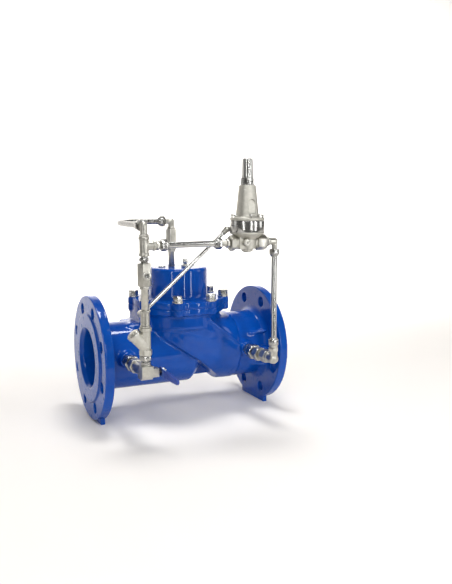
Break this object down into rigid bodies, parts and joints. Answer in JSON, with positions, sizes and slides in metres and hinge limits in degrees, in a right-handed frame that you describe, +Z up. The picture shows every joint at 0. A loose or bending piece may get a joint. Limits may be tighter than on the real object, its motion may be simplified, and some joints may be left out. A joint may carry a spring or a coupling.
{
  "type": "pressure reducing valve",
  "caption": "Flanged globe-pattern pressure reducing valve with a spring-loaded pilot, strainer, shut-off valves and rigid steel pilot tubing.",
  "frame": {"origin": "centre of the inlet flange's bolt circle, in the plane behind its raised face", "axes": "+X with the flow from inlet to outlet, +Z up through the cover and dome, the pilot circuit on the -Y side"},
  "size_m": [0.35, 0.3295, 0.4564],
  "materials": {
    "blue_epoxy": "gloss fusion-bonded epoxy over cast iron",
    "cast_stainless": "bead-blasted cast stainless",
    "machined_stainless": "turned",
    "polished_stainless": "polished",
    "fastener_steel": "zinc plated",
    "lever_grip": "dipped grip",
    "rubber_black": "matt",
    "bronze": "turned",
    "spring_steel": "drawn wire"
  },
  "bodies": {
    "root": {"valve_body": "blue_epoxy", "inlet_end": "blue_epoxy", "outlet_end": "blue_epoxy", "cover": "blue_epoxy", "cover_bolts": "fastener_steel", "cover_washers": "fastener_steel", "dome_plugs": "fastener_steel", "seat_ring": "machined_stainless", "seat_o_ring": "rubber_black", "stem_bush": "bronze", "main_diaphragm": "rubber_black", "main_spring": "spring_steel", "branch_nipples": "cast_stainless", "branch_unions": "cast_stainless", "inlet_valve_body": "cast_stainless", "riser_nipples": "cast_stainless", "strainer_body": "cast_stainless", "strainer_screen": "machined_stainless", "strainer_cap": "cast_stainless", "sensing_tee": "cast_stainless", "riser_pipe": "cast_stainless", "isolation_body": "cast_stainless", "supply_tee": "cast_stainless", "tube_elbows": "cast_stainless", "tube_adapters": "cast_stainless", "supply_tube": "polished_stainless", "dome_tube": "polished_stainless", "compression_nuts": "cast_stainless", "regulator_body": "cast_stainless", "dome_pipe_stub": "cast_stainless", "sensing_tube": "polished_stainless", "sensing_fittings": "cast_stainless", "outlet_tube": "polished_stainless", "outlet_elbow": "cast_stainless", "pilot_body": "cast_stainless", "pilot_plugs": "cast_stainless", "pilot_seat": "machined_stainless", "pilot_ring": "polished_stainless", "pilot_diaphragm": "rubber_black", "pilot_spring": "spring_steel", "pilot_bonnet": "cast_stainless", "pilot_screws": "fastener_steel"},
    "main_stem_assembly": {"main_stem": "machined_stainless", "disc_retainer": "machined_stainless", "valve_disc": "rubber_black", "disc_holder": "machined_stainless", "lower_diaphragm_plate": "machined_stainless", "upper_diaphragm_plate": "machined_stainless", "stem_nut": "fastener_steel"},
    "inlet_handle": {"inlet_valve_ball": "machined_stainless", "inlet_lever": "lever_grip", "lever_nut": "fastener_steel"},
    "isolation_key": {"isolation_ball": "machined_stainless"},
    "regulator_key": {"regulator_plug": "machined_stainless"},
    "pilot_moving_stem": {"pilot_stem": "machined_stainless", "pilot_plate": "machined_stainless"},
    "pilot_button": {"spring_button": "machined_stainless"},
    "pilot_screw": {"adjusting_screw": "machined_stainless"},
    "lock_nut": {"pilot_lock_nut": "cast_stainless"},
    "pilot_top_cap": {"pilot_cap": "polished_stainless"}
  },
  "joints": [
    {"name": "main_valve_lift", "type": "slide", "parent": "root", "child": "main_stem_assembly", "axis": [0, 0, 1], "range_m": [0, 0.018], "stiffness_N_per_m": 1500, "springref_m": -0.03, "deforming": ["main_spring", "main_diaphragm"]},
    {"name": "inlet_handle_turn", "type": "hinge", "parent": "root", "child": "inlet_handle", "pos_m": [0.05, -0.165, 0.005], "axis": [1, 0, 0], "range_deg": [0, 90]},
    {"name": "isolation_key_turn", "type": "hinge", "parent": "root", "child": "isolation_key", "pos_m": [0.05, -0.165, 0.161], "axis": [0, -1, 0], "range_deg": [0, 90]},
    {"name": "regulator_key_turn", "type": "hinge", "parent": "root", "child": "regulator_key", "pos_m": [0.163, 0.01, 0.206], "axis": [0, 1, 0], "range_deg": [0, 90]},
    {"name": "pilot_stem_travel", "type": "slide", "parent": "root", "child": "pilot_moving_stem", "axis": [0, 0, 1], "range_m": [0, 0.002], "stiffness_N_per_m": 2000, "springref_m": -0.004, "deforming": ["pilot_diaphragm"]},
    {"name": "screw_travel", "type": "slide", "parent": "root", "child": "pilot_button", "axis": [0, 0, 1], "range_m": [-0.00375, 0.00375], "deforming": ["pilot_spring"]},
    {"name": "screw_turn", "type": "hinge", "parent": "pilot_button", "child": "pilot_screw", "pos_m": [0.23, -0.165, 0.3], "axis": [0, 0, 1], "range_deg": [-1080, 1080]},
    {"name": "lock_nut_turn", "type": "hinge", "parent": "root", "child": "lock_nut", "pos_m": [0.23, -0.165, 0.306], "axis": [0, 0, 1], "range_deg": [0, 180]},
    {"name": "cap_lift", "type": "slide", "parent": "root", "child": "pilot_top_cap", "axis": [0, 0, 1], "range_m": [0, 0.05]}
  ],
  "couplings": [
    {"joint": "screw_turn", "follows": "screw_travel", "rad_per_m": 5026.5}
  ]
}
